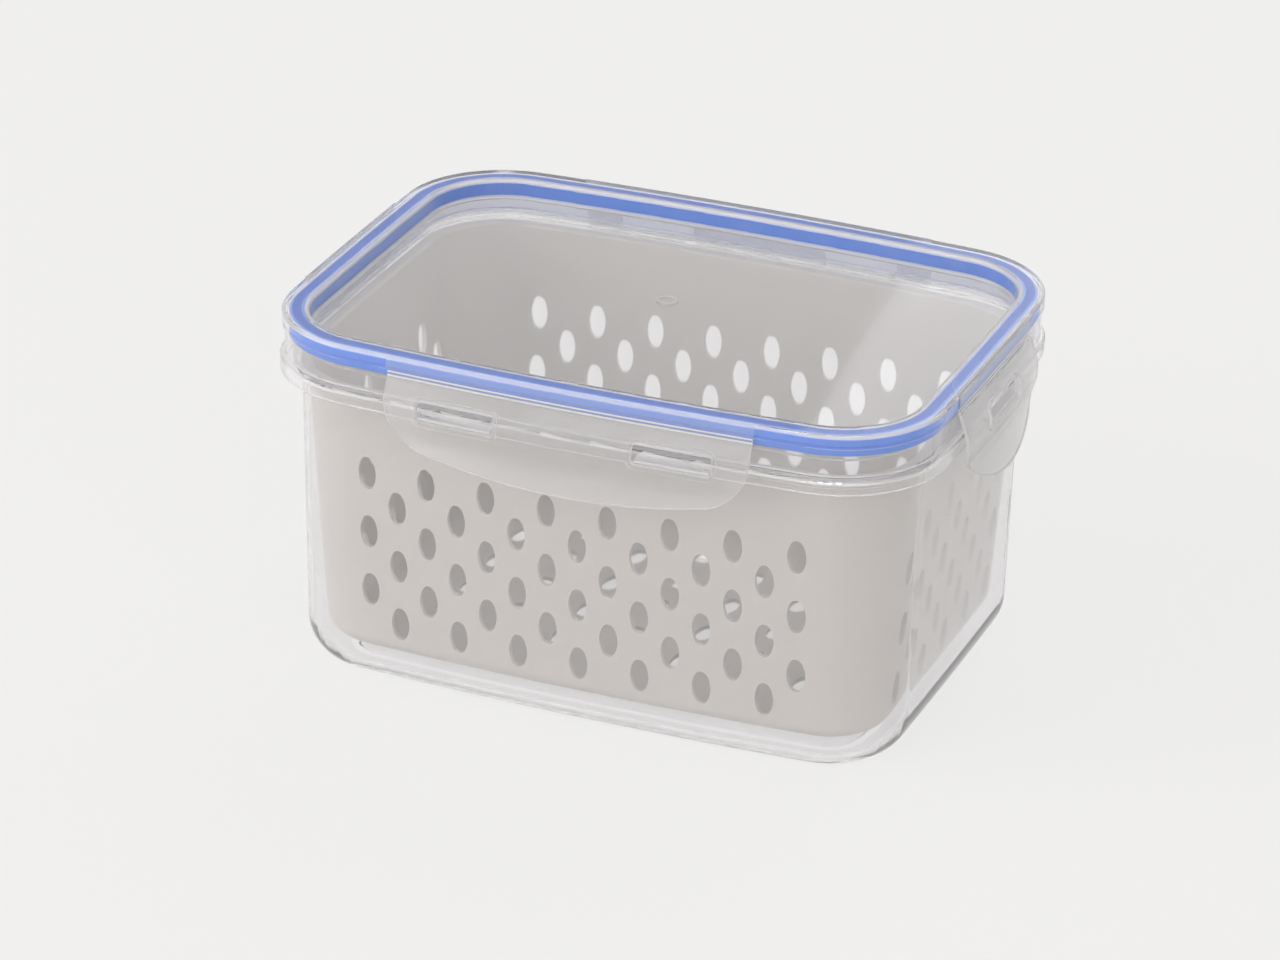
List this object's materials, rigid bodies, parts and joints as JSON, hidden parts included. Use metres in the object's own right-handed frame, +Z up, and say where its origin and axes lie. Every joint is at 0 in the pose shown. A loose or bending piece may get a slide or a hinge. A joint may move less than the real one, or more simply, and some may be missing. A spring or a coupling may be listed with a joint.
{
  "type": "produce storage container",
  "caption": "Clear produce storage container with a perforated hanging drain basket and a snap-latch lid with a silicone seal.",
  "frame": {"origin": "middle of the base, on the plane of the foot ring", "axes": "+X along the long side, -Y towards the front long side, +Z up"},
  "size_m": [0.2762, 0.2046, 0.1428],
  "materials": {
    "clear_plastic": "clear gloss moulded polypropylene",
    "white_plastic": "milky white translucent polypropylene",
    "blue_silicone": "satin silicone"
  },
  "bodies": {
    "container": {"box": "clear_plastic", "basket": "white_plastic", "seal": "blue_silicone", "lid": "clear_plastic"},
    "latch_front": {"latch_front": "clear_plastic"},
    "latch_right": {"latch_right": "clear_plastic"},
    "latch_back": {"latch_back": "clear_plastic"},
    "latch_left": {"latch_left": "clear_plastic"}
  },
  "joints": [
    {"name": "front_latch_hinge", "type": "hinge", "parent": "container", "child": "latch_front", "pos_m": [0, -0.0964, 0.1361], "axis": [-1, 0, 0], "range_deg": [0, 120]},
    {"name": "right_latch_hinge", "type": "hinge", "parent": "container", "child": "latch_right", "pos_m": [0.1312, 0, 0.1361], "axis": [0, -1, 0], "range_deg": [0, 120]},
    {"name": "back_latch_hinge", "type": "hinge", "parent": "container", "child": "latch_back", "pos_m": [0, 0.0964, 0.1361], "axis": [1, 0, 0], "range_deg": [0, 120]},
    {"name": "left_latch_hinge", "type": "hinge", "parent": "container", "child": "latch_left", "pos_m": [-0.1312, 0, 0.1361], "axis": [0, 1, 0], "range_deg": [0, 120]}
  ]
}
